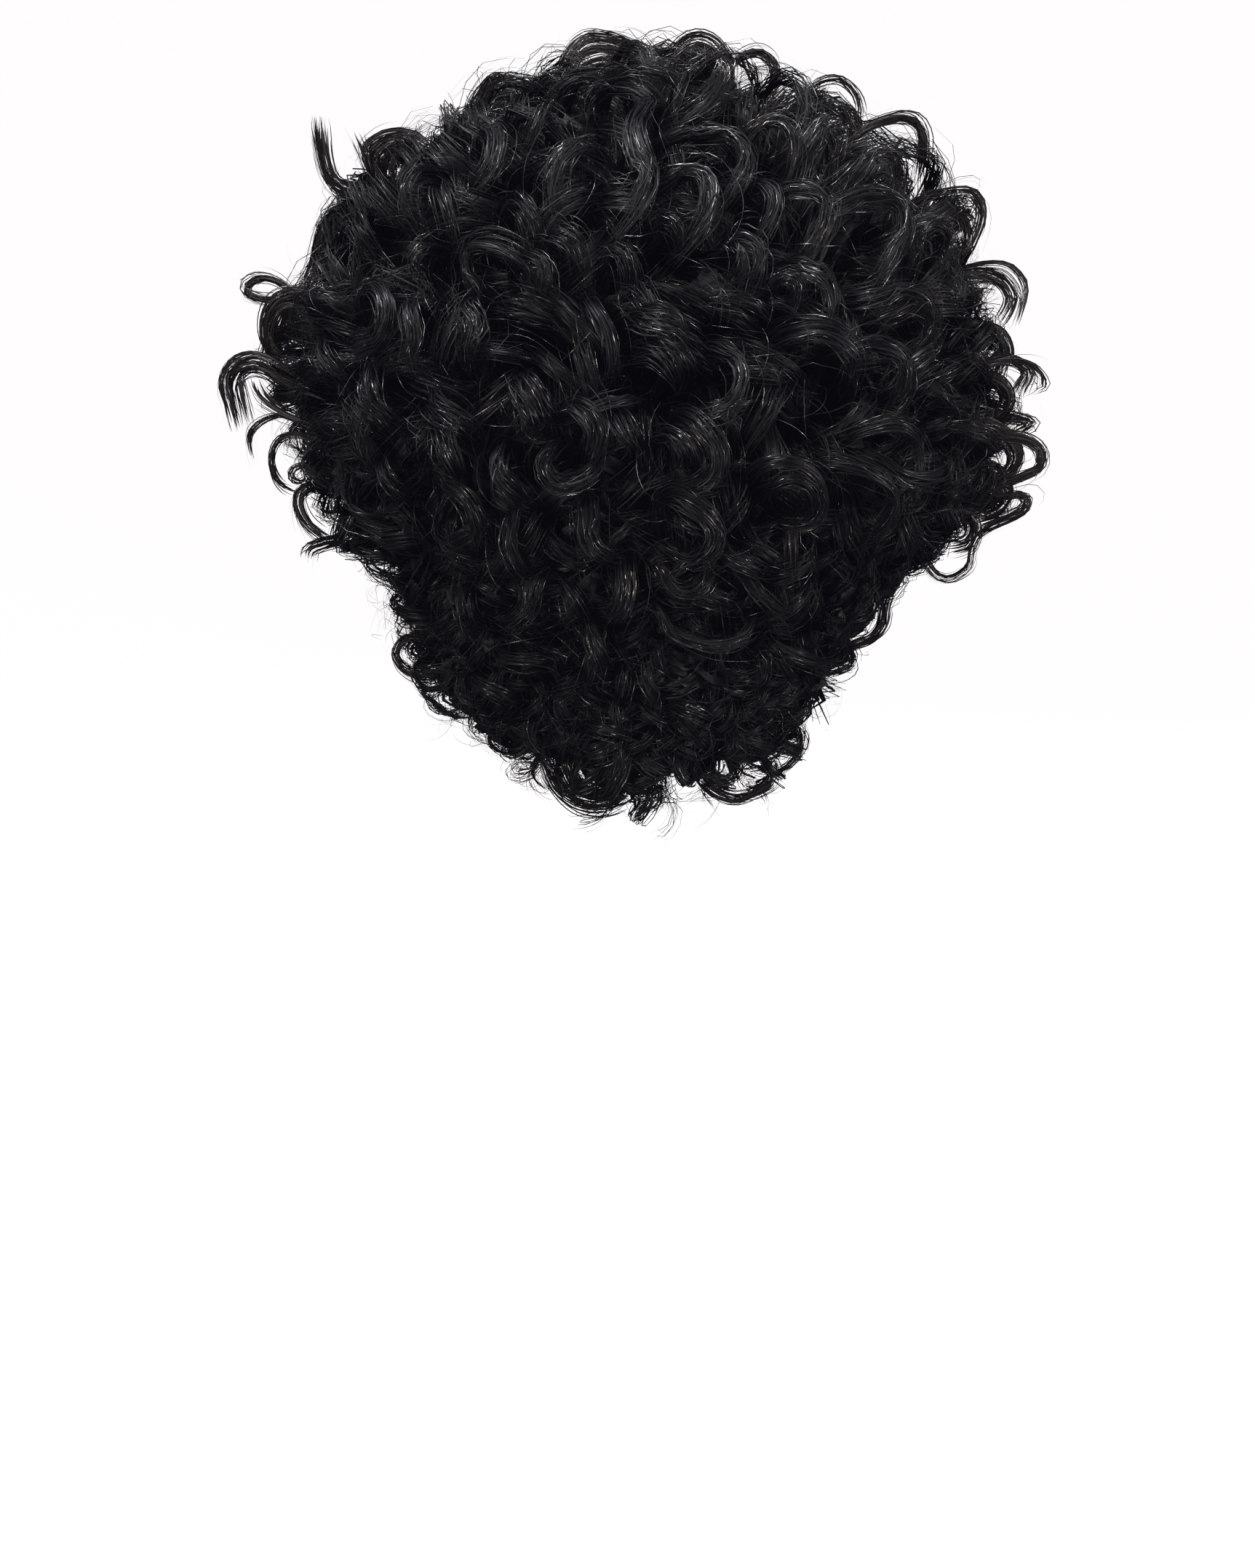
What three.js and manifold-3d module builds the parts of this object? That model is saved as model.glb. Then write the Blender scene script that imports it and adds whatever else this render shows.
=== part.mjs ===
// A short, full curly wig: a stretch cap with wefts of corkscrew curls sewn round it in rows.
// Millimetres, +Z up. The origin is the top of the head, inside the cap, and the face looks along -Y.
// Azimuth 0 is the middle of the back, and 180 the middle of the forehead. Latitude is counted from the crown.

import * as THREE from "three";
import { mergeVertices } from "three/addons/utils/BufferGeometryUtils.js";
import Module from "manifold-3d";

const wasm = await Module();
wasm.setup();

// The head that the cap is cut for
const HEAD_HALF_WIDTH = 77;
const HEAD_HALF_LENGTH = 97;
const CROWN_HEIGHT = 105; // from the head's widest level up to its top
const NAPE_HEIGHT = 130; // the same for the half below, which tapers to the neck

// Cloth and weft
const CAP_WALL = 1.5;
const SEAT_GAP = 1.2; // between the cap and what is sewn on it, which the facets narrow to about 0.4
const WEFT_WALL = 3; // the sewn strip with the hair roots in it
const WEFT_HALF_HEIGHT = 3.5; // degrees of latitude
const CROWN_PATCH = 20; // degrees of latitude that the round patch on top covers
const WEFT_END = 179; // a strip that goes right round stops this far from the back, so its ends don't touch

// How finely things are faceted
const CAP_SIDES = 30;
const CAP_RINGS = 9;
const PATCH_RINGS = 2;
const STRIP_STEP = 15; // degrees of azimuth
const LOCK_STEPS = 7;
const MERGE_DISTANCE = 1e-4; // points nearer than this are one point

// The cap's edge from the middle of the nape to the middle of the forehead
const CAP_EDGE = [
  { azimuth: 0, z: -196 }, // nape
  { azimuth: 42, z: -190 },
  { azimuth: 64, z: -148 }, // behind the ear
  { azimuth: 82, z: -118 }, // over the ear
  { azimuth: 104, z: -126 }, // tab in front of the ear
  { azimuth: 118, z: -120 },
  { azimuth: 138, z: -80 }, // temple
  { azimuth: 180, z: -50 }, // forehead
];

// One row for each weft. Its locks leave the cap at that latitude, bend over at a point that is lift off
// the head and rise above that, and fall to tipZ, where side, back and front are the half width and the
// depths of the row. frontZ is the level of the tips over the face.
const WEFTS = [
  { name: "top_weft", latitude: 34, span: WEFT_END, locks: 11, tipZ: 22, frontZ: 14, side: 116, back: 112,
    front: 106, lift: 62, rise: 26, coil: 12, thick: 10, wide: 14, turns: 1.3 },
  { name: "fringe_weft", latitude: 50, span: WEFT_END, locks: 17, tipZ: -22, frontZ: -60, side: 140, back: 140,
    front: 132, lift: 68, rise: 22, coil: 12, thick: 9, wide: 13, turns: 1.3 },
  { name: "temple_weft", latitude: 66, span: 132, locks: 14, tipZ: -64, frontZ: -64, side: 148, back: 148,
    front: 132, lift: 68, rise: 14, coil: 12, thick: 9, wide: 13, turns: 1.3 },
  { name: "ear_weft", latitude: 82, span: 112, locks: 13, tipZ: -102, frontZ: -102, side: 130, back: 142,
    front: 122, lift: 60, rise: 14, coil: 11, thick: 9, wide: 12, turns: 1.2 },
  { name: "back_weft", latitude: 98, span: 66, locks: 9, tipZ: -138, frontZ: -138, side: 104, back: 128,
    front: 104, lift: 44, rise: 12, coil: 8, thick: 8, wide: 12, turns: 1.1 },
  { name: "lower_weft", latitude: 112, span: 56, locks: 8, tipZ: -172, frontZ: -172, side: 90, back: 112,
    front: 90, lift: 32, rise: 12, coil: 6, thick: 7, wide: 11, turns: 1 },
  { name: "nape_weft", latitude: 126, span: 42, locks: 7, tipZ: -208, frontZ: -208, side: 68, back: 92,
    front: 68, lift: 26, rise: 12, coil: 5, thick: 6, wide: 9, turns: 1 },
];
const FRONT_START = 0.55; // share of the way forward where the tips start to drop over the face

// The locks of the crown patch: one row for each ring of them
const CROWN = [
  { latitude: 0, locks: 1, tipZ: 60, frontZ: 60, side: 16, back: 16, front: 16, lift: 76, rise: 0 },
  { latitude: 15, locks: 6, tipZ: 56, frontZ: 50, side: 76, back: 72, front: 68, lift: 74, rise: 28 },
];
const CROWN_LOCK = { coil: 12, thick: 10, wide: 15, turns: 1.3 };

// A lock is a ribbon of hair. These are its size at the root and the tip, as shares of its half sizes.
const ROOT_SHARE = 0.6;
const TIP_SHARE = 0.7;
const LOCK_GAP = 0.8; // that a lock keeps clear of the locks of the rows above
const PHASE_STEP = 2.4; // radians by which each lock's winding starts further round than its neighbour's
const RIBBON = [
  { thin: 1, wide: 1 },
  { thin: -1, wide: 1 },
  { thin: -1, wide: -1 },
  { thin: 1, wide: -1 },
];

const HAIR = new THREE.MeshStandardMaterial({ color: 0x17161a, roughness: 0.45, metalness: 0 });
const CAP_CLOTH = new THREE.MeshStandardMaterial({ color: 0x121114, roughness: 0.85, metalness: 0 });

const radians = THREE.MathUtils.degToRad;
const smooth = (t) => THREE.MathUtils.smoothstep(t, 0, 1);

// A point at that azimuth and latitude, off the head by a clearance
function onHead(azimuth, latitude, clearance) {
  const around = radians(azimuth);
  const down = radians(latitude);
  const height = latitude < 90 ? CROWN_HEIGHT : NAPE_HEIGHT;
  return new THREE.Vector3(
    (HEAD_HALF_WIDTH + clearance) * Math.sin(down) * Math.sin(around),
    (HEAD_HALF_LENGTH + clearance) * Math.sin(down) * Math.cos(around),
    (height + clearance) * Math.cos(down) - CROWN_HEIGHT,
  );
}

// The direction straight out of the head there
function offHead(azimuth, latitude) {
  const height = latitude < 90 ? CROWN_HEIGHT : NAPE_HEIGHT;
  const point = onHead(azimuth, latitude, 0);
  return new THREE.Vector3(
    point.x / HEAD_HALF_WIDTH ** 2,
    point.y / HEAD_HALF_LENGTH ** 2,
    (point.z + CROWN_HEIGHT) / height ** 2,
  ).normalize();
}

// The latitude of the cap's edge at an azimuth, the same on both sides
function edgeLatitude(azimuth) {
  const turn = Math.abs(THREE.MathUtils.euclideanModulo(azimuth + 180, 360) - 180);
  const next = Math.max(1, CAP_EDGE.findIndex((row) => row.azimuth >= turn));
  const [low, high] = [CAP_EDGE[next - 1], CAP_EDGE[next]];
  const share = smooth((turn - low.azimuth) / (high.azimuth - low.azimuth));
  const above = THREE.MathUtils.lerp(low.z, high.z, share) + CROWN_HEIGHT;
  return THREE.MathUtils.radToDeg(Math.acos(above / (above > 0 ? CROWN_HEIGHT : NAPE_HEIGHT)));
}

// A closed body through rings of points, each ring anticlockwise about the way that the rings go.
// Each four-sided face is split along its shorter diagonal, so that a twisted body bulges.
function loft(start, rings, end) {
  const sides = rings[0].length;
  const points = [start, ...rings.flat(), end];
  const last = points.length - 1;
  const at = (ring, side) => 1 + ring * sides + (side % sides);
  const index = [];
  for (let k = 0; k < sides; k++) {
    index.push(0, at(0, k + 1), at(0, k));
    for (let i = 0; i + 1 < rings.length; i++) {
      const [a, b, c, d] = [at(i, k), at(i, k + 1), at(i + 1, k + 1), at(i + 1, k)];
      const split = points[a].distanceTo(points[c]) < points[b].distanceTo(points[d]);
      index.push(...(split ? [a, b, c, a, c, d] : [a, b, d, b, c, d]));
    }
    index.push(last, at(rings.length - 1, k), at(rings.length - 1, k + 1));
  }
  return new THREE.BufferGeometry().setFromPoints(points).setIndex(index);
}

// A bowl over the top of the head, between two clearances, down to edge(azimuth)
function bowl(inner, outer, edge, sides, ringCount) {
  const ring = (share, clearance) =>
    Array.from({ length: sides }, (_, k) => {
      const azimuth = (-360 * k) / sides;
      return onHead(azimuth, share * edge(azimuth), clearance);
    });
  const shares = Array.from({ length: ringCount }, (_, i) => (i + 1) / ringCount);
  const rings = [
    ...shares.map((share) => ring(share, inner)),
    ...shares.reverse().map((share) => ring(share, outer)),
  ];
  return loft(onHead(0, 0, inner), rings, onHead(0, 0, outer));
}

// The strip that a row of hair is sewn to
function strip({ latitude, span }) {
  const [inner, outer] = [CAP_WALL + SEAT_GAP, CAP_WALL + SEAT_GAP + WEFT_WALL];
  const [upper, lower] = [latitude - WEFT_HALF_HEIGHT, latitude + WEFT_HALF_HEIGHT];
  const steps = Math.ceil((2 * span) / STRIP_STEP);
  const rings = Array.from({ length: steps + 1 }, (_, i) => {
    const azimuth = -span + (2 * span * i) / steps;
    return [
      onHead(azimuth, lower, inner),
      onHead(azimuth, lower, outer),
      onHead(azimuth, upper, outer),
      onHead(azimuth, upper, inner),
    ];
  });
  const middle = (azimuth) => onHead(azimuth, latitude, (inner + outer) / 2);
  return loft(middle(-span), rings, middle(span));
}

// Where the locks of a row end at that azimuth
function tipOf(row, azimuth) {
  const [across, along] = [Math.sin(radians(azimuth)), Math.cos(radians(azimuth))];
  const depth = along > 0 ? row.back : row.front;
  const forward = smooth((-along - FRONT_START) / (1 - FRONT_START));
  const z = THREE.MathUtils.lerp(row.tipZ, row.frontZ, forward);
  return new THREE.Vector3(row.side * across, depth * along, z);
}

// One corkscrew lock, made larger all round by spare
function lock(azimuth, row, { coil, thick, wide, turns }, phase, hand, spare) {
  const root = onHead(azimuth, row.latitude, CAP_WALL + SEAT_GAP + WEFT_WALL / 2);
  const bend = root.clone().addScaledVector(offHead(azimuth, row.latitude), row.lift);
  bend.z += row.rise;
  const axis = new THREE.QuadraticBezierCurve3(root, bend, tipOf(row, azimuth));
  const across = new THREE.Vector3(Math.cos(radians(azimuth)), -Math.sin(radians(azimuth)), 0);

  const outward = (t) => {
    const angle = phase + hand * turns * 2 * Math.PI * t;
    const up = axis.getTangent(t).cross(across).normalize();
    return across.clone().multiplyScalar(Math.cos(angle)).addScaledVector(up, Math.sin(angle));
  };
  const middle = (t) => axis.getPoint(t).addScaledVector(outward(t), coil * smooth(2 * t));
  const direction = (t) => {
    const step = 0.5 / LOCK_STEPS;
    return middle(Math.min(1, t + step)).sub(middle(Math.max(0, t - step))).normalize();
  };
  const ring = (t, push) => {
    const along = direction(t);
    const inward = outward(t);
    inward.addScaledVector(along, -inward.dot(along)).normalize();
    const sideways = along.clone().cross(inward);
    const grown = THREE.MathUtils.lerp(ROOT_SHARE, 1, smooth(2 * t));
    const share = THREE.MathUtils.lerp(grown, TIP_SHARE, smooth(2 * t - 1));
    return RIBBON.map((corner) =>
      middle(t)
        .addScaledVector(along, push)
        .addScaledVector(inward, (share * thick + spare) * corner.thin)
        .addScaledVector(sideways, (share * wide + spare) * corner.wide),
    );
  };
  const rings = Array.from({ length: LOCK_STEPS + 1 }, (_, i) => ring(i / LOCK_STEPS, 0));
  if (spare > 0) rings.push(ring(1, spare));
  return loft(root, rings, middle(1).addScaledVector(direction(1), spare));
}

// The locks of one row, evenly spread, each turned and wound another way than its neighbour
function locksOf(row, look, spare) {
  const step = row.span ? (2 * row.span) / row.locks : 360 / row.locks;
  const first = row.span ? -row.span + step / 2 : 0;
  return Array.from({ length: row.locks }, (_, i) =>
    lock(first + step * i, row, look, i * PHASE_STEP + row.latitude, i % 2 ? 1 : -1, spare),
  );
}

// One solid of closed bodies that overlap
function fused(geometries) {
  const solids = geometries.map((geometry) => {
    const merged = mergeVertices(geometry, MERGE_DISTANCE);
    return new wasm.Manifold(
      new wasm.Mesh({
        numProp: 3,
        vertProperties: merged.attributes.position.array,
        triVerts: new Uint32Array(merged.index.array),
      }),
    );
  });
  return solids.reduce((whole, solid) => whole.add(solid));
}

// The largest body of a solid, without the ends that trimming has cut off
function largest(solid) {
  return solid.decompose().reduce((a, b) => (a.volume() > b.volume() ? a : b));
}

function geometryOf(solid) {
  const made = solid.getMesh();
  return new THREE.BufferGeometry()
    .setAttribute("position", new THREE.BufferAttribute(made.vertProperties, 3))
    .setIndex(new THREE.BufferAttribute(made.triVerts, 1));
}

function piece(name, geometry, material) {
  const mesh = new THREE.Mesh(geometry, material);
  mesh.name = name;
  return mesh;
}

const wig = new THREE.Group();

wig.add(piece("cap", bowl(0, CAP_WALL, edgeLatitude, CAP_SIDES, CAP_RINGS), CAP_CLOTH));

const patchSeat = CAP_WALL + SEAT_GAP;
const patch = bowl(patchSeat, patchSeat + WEFT_WALL, () => CROWN_PATCH, CAP_SIDES, PATCH_RINGS);
const crownLocks = (spare) => CROWN.flatMap((row) => locksOf(row, CROWN_LOCK, spare));
wig.add(piece("crown_patch", geometryOf(fused([patch, ...crownLocks(0)])), HAIR));

// From the crown down, each row is trimmed where the locks above it lie
let above = fused(crownLocks(LOCK_GAP));
for (const weft of WEFTS) {
  const row = fused([strip(weft), ...locksOf(weft, weft, 0)]);
  wig.add(piece(weft.name, geometryOf(largest(row.subtract(above))), HAIR));
  above = above.add(fused(locksOf(weft, weft, LOCK_GAP)));
}

export default wig;
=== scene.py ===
import math

import bpy
import numpy as np
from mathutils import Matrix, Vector


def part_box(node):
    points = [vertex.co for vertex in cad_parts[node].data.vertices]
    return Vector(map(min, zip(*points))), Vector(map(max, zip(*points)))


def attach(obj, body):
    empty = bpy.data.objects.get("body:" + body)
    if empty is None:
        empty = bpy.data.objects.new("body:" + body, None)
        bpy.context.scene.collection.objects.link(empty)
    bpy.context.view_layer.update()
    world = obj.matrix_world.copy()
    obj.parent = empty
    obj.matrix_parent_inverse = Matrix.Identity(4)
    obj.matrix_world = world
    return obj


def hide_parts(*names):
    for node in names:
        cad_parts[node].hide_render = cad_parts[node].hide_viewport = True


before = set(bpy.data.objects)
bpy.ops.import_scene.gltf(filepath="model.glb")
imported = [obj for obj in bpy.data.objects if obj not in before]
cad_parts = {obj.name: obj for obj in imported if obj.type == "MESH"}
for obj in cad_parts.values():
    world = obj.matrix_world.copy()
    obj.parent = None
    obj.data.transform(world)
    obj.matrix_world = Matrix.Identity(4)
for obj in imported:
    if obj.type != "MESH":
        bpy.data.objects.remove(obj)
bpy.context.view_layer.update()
scene = bpy.context.scene
mm = 0.001

# the head inside the cap, read off the cap's own box
capLow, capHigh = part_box("cap")
head = {
    "wall": 1.5 * mm,
    "crown": 105 * mm,  # top of the head above its widest level
    "nape": 130 * mm,   # the lower half is drawn out longer
}
halfWidth = capHigh.x - head["wall"]
halfLength = capHigh.y - head["wall"]


def smoothStep(low, high, value):
    share = np.clip((value - low) / (high - low), 0, 1)
    return share * share * (3 - 2 * share)


def unit(vectors):
    return vectors / np.maximum(np.linalg.norm(vectors, axis=-1, keepdims=True), 1e-9)


# vectors turned until they are square to a direction
def squareTo(along, vectors):
    return unit(vectors - (vectors * along).sum(axis=-1, keepdims=True) * along)


# how far the points lie along each line of a stack of lines
def runAlong(lines):
    steps = np.linalg.norm(np.diff(lines, axis=1), axis=2)
    return np.concatenate([np.zeros((len(lines), 1)), np.cumsum(steps, axis=1)], axis=1)


# azimuth 0 is the back of the head and 180 the forehead, latitude 0 the crown
def onHead(azimuth, latitude, clearance=0.0):
    around, down = np.radians(azimuth), np.radians(latitude)
    height = np.where(np.cos(down) > 0, head["crown"], head["nape"]) + clearance
    return np.stack([
        (halfWidth + clearance) * np.sin(down) * np.sin(around),
        (halfLength + clearance) * np.sin(down) * np.cos(around),
        height * np.cos(down) - head["crown"],
    ], axis=-1)


def offHead(azimuth, latitude):
    return unit(onHead(azimuth, latitude, 1 * mm) - onHead(azimuth, latitude))


# no hair runs inside the head
def clearOfHead(places, clearance):
    centre, least = np.array((0, 0, -head["crown"])), 0.05  # nothing lies at the very centre
    reach = np.broadcast_to((halfWidth, halfLength, head["crown"]), places.shape).copy()
    reach[places[..., 2] < centre[2], 2] = head["nape"]
    share = np.linalg.norm((places - centre) / (reach + clearance), axis=-1, keepdims=True)
    return centre + (places - centre) / np.clip(share, least, 1)


# latitude of a level on the head
def latitudeAt(level):
    above = level + head["crown"]
    return np.degrees(np.arccos(above / np.where(above > 0, head["crown"], head["nape"])))


# outline of the hair in mm: level, half width to each side, depth at the back, depth at the front
outerForm = {
    "rows": [
        (95, 14, 16, 14, 12),
        (87, 38, 52, 44, 40),
        (74, 58, 82, 72, 66),
        (60, 94, 103, 97, 91),
        (41, 121, 124, 119, 110),
        (24, 132, 138, 132, 120),
        (0, 143, 150, 145, 128),
        (-30, 158, 160, 157, 136),
        (-55, 156, 164, 163, 136),
        (-75, 149, 163, 163, 130),
        (-90, 142, 158, 159, 122),
        (-103, 131, 141, 153, 114),
        (-116, 120, 120, 147, 104),
        (-140, 116, 110, 135, 96),
        (-165, 108, 94, 123, 86),
        (-190, 84, 88, 112, 70),
        (-218, 52, 68, 98, 50),
    ],
    "topFade": 20,  # mm above the top row that count as one more share
}
formRows = np.array(outerForm["rows"], float) * mm
formMiddle = np.stack([formRows[:, 0], formRows[:, 1:4].mean(axis=1)], axis=1)
formPath = runAlong(formMiddle[None])[0]


def pathAtLevel(level):
    return np.interp(-np.asarray(level), -formRows[:, 0], formPath)


# half width on one side and depth on the other, where the form is cut at a level
def formCut(level, x, y):
    path = pathAtLevel(level)
    left, right, back, front = (np.interp(path, formPath, column) for column in formRows.T[1:])
    return np.where(x > 0, left, right), np.where(y > 0, back, front)


def onForm(azimuth, path):
    around = np.radians(azimuth)
    level = np.interp(path, formPath, formRows[:, 0])
    side, depth = formCut(level, np.sin(around), np.cos(around))
    return np.stack([side * np.sin(around), depth * np.cos(around), level], axis=-1)


def offForm(azimuth, path):
    reach, turn = 12 * mm, 4  # turn in degrees
    along = onForm(azimuth, path + reach) - onForm(azimuth, path - reach)
    across = onForm(azimuth + turn, path) - onForm(azimuth - turn, path)
    return unit(np.cross(across, along))


# under 1 inside the form, and over 1 outside it
def formShare(places):
    x, y, level = np.moveaxis(places, -1, 0)
    side, depth = formCut(level, x, y)
    above = np.maximum(level - formRows[0, 0], 0) / (outerForm["topFade"] * mm)
    return np.hypot(x / side, y / depth) + above


def awayFromForm(places):
    reach = 4 * mm
    steps = [formShare(places + step) - formShare(places - step) for step in np.eye(3) * reach]
    return unit(np.stack(steps, axis=-1))


# the view from behind the head, a little above it: m, degrees, mm
cameraLook = {"place": (0.004, 0.569, -0.100), "down": 11.6, "lens": 28.4, "clip": (0.01, 50)}


def camera():
    data = bpy.data.cameras.new("camera")
    data.lens = cameraLook["lens"]
    data.clip_start, data.clip_end = cameraLook["clip"]
    eye = bpy.data.objects.new("camera", data)
    eye.location = cameraLook["place"]
    eye.rotation_euler = (math.radians(90 - cameraLook["down"]), 0, math.pi)
    scene.collection.objects.link(eye)
    scene.camera = eye


photoFrame = {
    "width": 1725, "height": 2156, "sensor": 36,  # pixels, and mm
    "search": (0.3, 0.75), "tries": 900,          # m from the camera, and places tried along a ray
}


def photoRays(pixels):
    down = math.radians(cameraLook["down"])
    focal = cameraLook["lens"] / photoFrame["sensor"] * photoFrame["height"]
    right = (pixels[:, 0] - photoFrame["width"] / 2) / focal
    up = (photoFrame["height"] / 2 - pixels[:, 1]) / focal
    return np.stack([
        -right, -math.cos(down) - up * math.sin(down), up * math.cos(down) - math.sin(down),
    ], axis=1)


# where a pixel of the photo meets an upright plane across the head
def onUpright(pixels, depth):
    rays, eye = photoRays(pixels), np.array(cameraLook["place"])
    return eye + rays * ((depth - eye[1]) / rays[:, 1])[:, None]


# where a pixel of the photo first meets the outer form
def onHairFace(pixels):
    rays, eye = photoRays(pixels), np.array(cameraLook["place"])
    reach = np.linspace(*photoFrame["search"], photoFrame["tries"])
    places = eye + rays[:, None] * reach[None, :, None]
    share = formShare(places)
    inside = share < 1
    first = np.where(inside.any(axis=1), inside.argmax(axis=1), share.argmin(axis=1))
    return places[np.arange(len(pixels)), first]


# even steps along each line, and how long it is
def evenSteps(lines, count):
    length = runAlong(lines)
    share = np.linspace(0, 1, count)
    made = np.empty((len(lines), count, 3))
    for row in range(len(lines)):
        for axis in range(3):
            made[row, :, axis] = np.interp(share * length[row, -1], length[row], lines[row, :, axis])
    return made, length[:, -1]


def softened(lines, rounds):
    made = lines.copy()
    for turn in range(rounds):
        made[:, 1:-1] = (made[:, :-2] + 2 * made[:, 1:-1] + made[:, 2:]) / 4
    return made


# a frame carried along each line without twisting
def carriedFrames(lines):
    tangent = unit(np.gradient(lines, axis=1))
    first = np.empty_like(lines)
    askew = (0.3, 0.5, 0.81)  # a direction that no lock sets out in
    current = np.cross(tangent[:, 0], askew)
    for step in range(lines.shape[1]):
        along = tangent[:, step]
        current = squareTo(along, current)
        first[:, step] = current
    return tangent, first, np.cross(tangent, first)


# how a lock runs from its root
lockForm = {
    "rootClear": 3, "topClear": 2,           # mm off the head, and along the form from its top
    "points": 25, "softTurns": 14,           # points up to the form and along it, and rounds of easing
    "driftLate": 1.3, "kickLate": 2,         # powers: the tip leans and kicks more than the middle
    "rootCoil": 0.12, "opens": (0.12, 0.5),  # how narrow a coil starts, and where it opens
    "tightens": 0.7,                         # where its tip starts to tighten
}
fineSteps = 97
curlGrowth = 1.5  # the turns follow closer towards the tip


# the middle line of each lock: off the head, up to the outer form, then hanging along it
def lockAxes(locks):
    points = lockForm["points"]
    root = onHead(locks["azimuth"], locks["latitude"], lockForm["rootClear"] * mm)
    away = offHead(locks["azimuth"], locks["latitude"])
    hangShare = np.linspace(0, 1, points)
    path = locks["path"][:, None] - locks["hang"][:, None] * (1 - hangShare)
    path = np.maximum(path, lockForm["topClear"] * mm)
    azimuth = locks["azimuth"][:, None] + locks["drift"][:, None] * hangShare ** lockForm["driftLate"]
    inset = locks["inset"][:, None] - locks["kick"][:, None] * hangShare ** lockForm["kickLate"]
    hanging = onForm(azimuth, path) - offForm(azimuth, path) * inset[..., None]
    shoulder = hanging[:, 0]
    reach = np.linalg.norm(shoulder - root, axis=1, keepdims=True)
    bend = root + away * reach * locks["lift"][:, None]
    share = np.linspace(0, 1, points + 1)[None, :-1, None]
    rising = (1 - share) ** 2 * root[:, None] + 2 * share * (1 - share) * bend[:, None]
    rising = rising + share ** 2 * shoulder[:, None]
    lines, length = evenSteps(np.concatenate([rising, hanging], axis=1), fineSteps)
    return softened(lines, lockForm["softTurns"]), length


# each lock wound into a coil round its middle line
def coiled(locks):
    axes, length = lockAxes(locks)
    tangent, first, second = carriedFrames(axes)
    share = np.linspace(0, 1, fineSteps)[None]
    turns = length / locks["pitch"]
    wound = locks["hand"][:, None] * 2 * math.pi * turns[:, None] * share ** curlGrowth
    angle = locks["phase"][:, None] + wound
    narrow = lockForm["rootCoil"]
    ring = locks["coil"][:, None] * (narrow + (1 - narrow) * smoothStep(*lockForm["opens"], share))
    ring = ring * (1 + (locks["tighten"][:, None] - 1) * smoothStep(lockForm["tightens"], 1, share))
    outward = np.cos(angle)[..., None] * first + np.sin(angle)[..., None] * second
    middle = axes + ring[..., None] * outward
    along = unit(np.gradient(middle, axis=1))
    outward = squareTo(along, outward)
    return {"middle": middle, "out": outward, "across": np.cross(along, outward)}


spanSteps = 14


# a smooth line through given points
def smoothLine(points):
    padded = np.concatenate([2 * points[:1] - points[1:2], points, 2 * points[-1:] - points[-2:-1]])
    share = np.linspace(0, 1, spanSteps, endpoint=False)[:, None]
    made = []
    for before, start, end, after in zip(padded, padded[1:], padded[2:], padded[3:]):
        made.append(0.5 * (
            2 * start + (end - before) * share + (2 * before - 5 * start + 4 * end - after) * share ** 2
            + (3 * start - before - 3 * end + after) * share ** 3
        ))
    return np.concatenate(made + [points[-1:]])


# locks that follow the photo, each from its row's tape to the place where it is first seen
tracedLook = {
    "rootBend": 0.55, "rootLift": 8,      # share of the way, and mm off the head
    "softTurns": 40, "surfaced": 0.15,    # rounds of easing up to the surface, and where they stop
    "proud": 3, "dive": 13, "late": 2.5,  # mm, and a power: a lock on the face rises and sinks again
    "faceThick": 3.4, "outFace": 0.8, "outBend": 0.45,  # mm, and which way its flat side looks
    "strandWide": 2.0, "pixel": 0.3,      # mm
    "splay": 0.4, "splayTurn": 4,         # how the strands at the edge part, and radians along them
    "loose": 0.2, "long": (0.97, 1.02),   # pixels for each mm of width, and share of the length
    "sway": 5, "swayTurn": 2.6,           # mm towards the camera, and radians along a strand
    "edgeDeep": 4.2, "edgeThick": (0.4, 0.55),  # mm, and share of a strand's width
    "phase": (0, 6),
}


def rootedLine(places, latitude):
    azimuth = np.degrees(np.arctan2(places[:1, 0] / halfWidth, places[:1, 1] / halfLength))
    root = onHead(azimuth, np.array([latitude]), lockForm["rootClear"] * mm)
    lift = offHead(azimuth, np.array([latitude])) * tracedLook["rootLift"] * mm
    bend = root + (places[:1] - root) * tracedLook["rootBend"] + lift
    line = smoothLine(np.concatenate([root, bend, places]))
    length = np.cumsum(np.linalg.norm(np.diff(line, axis=0), axis=1))
    corner = length[2 * spanSteps] / length[-1]
    line = evenSteps(line[None], fineSteps)[0]
    soft = softened(line, tracedLook["softTurns"])
    seenPart = smoothStep(corner, corner + tracedLook["surfaced"], np.linspace(0, 1, fineSteps))
    return (soft + (line - soft) * seenPart[:, None])[0]


# on the face of the hair: seen width, and the places in the photo
def faceLocks(rows, latitude):
    for seen, pixels in rows:
        places = onHairFace(np.array(pixels, float))
        run = np.linspace(0, 1, len(pixels))
        lift = tracedLook["proud"] - tracedLook["dive"] * np.abs(run * 2 - 1) ** tracedLook["late"]
        line = rootedLine(places + awayFromForm(places) * lift[:, None] * mm, latitude)
        bendAway = unit(-np.gradient(unit(np.gradient(line, axis=0)), axis=0))
        out = awayFromForm(line) * tracedLook["outFace"] + bendAway * tracedLook["outBend"]
        yield line, out, seen / 2 * mm, tracedLook["faceThick"] / 2 * mm


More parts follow.
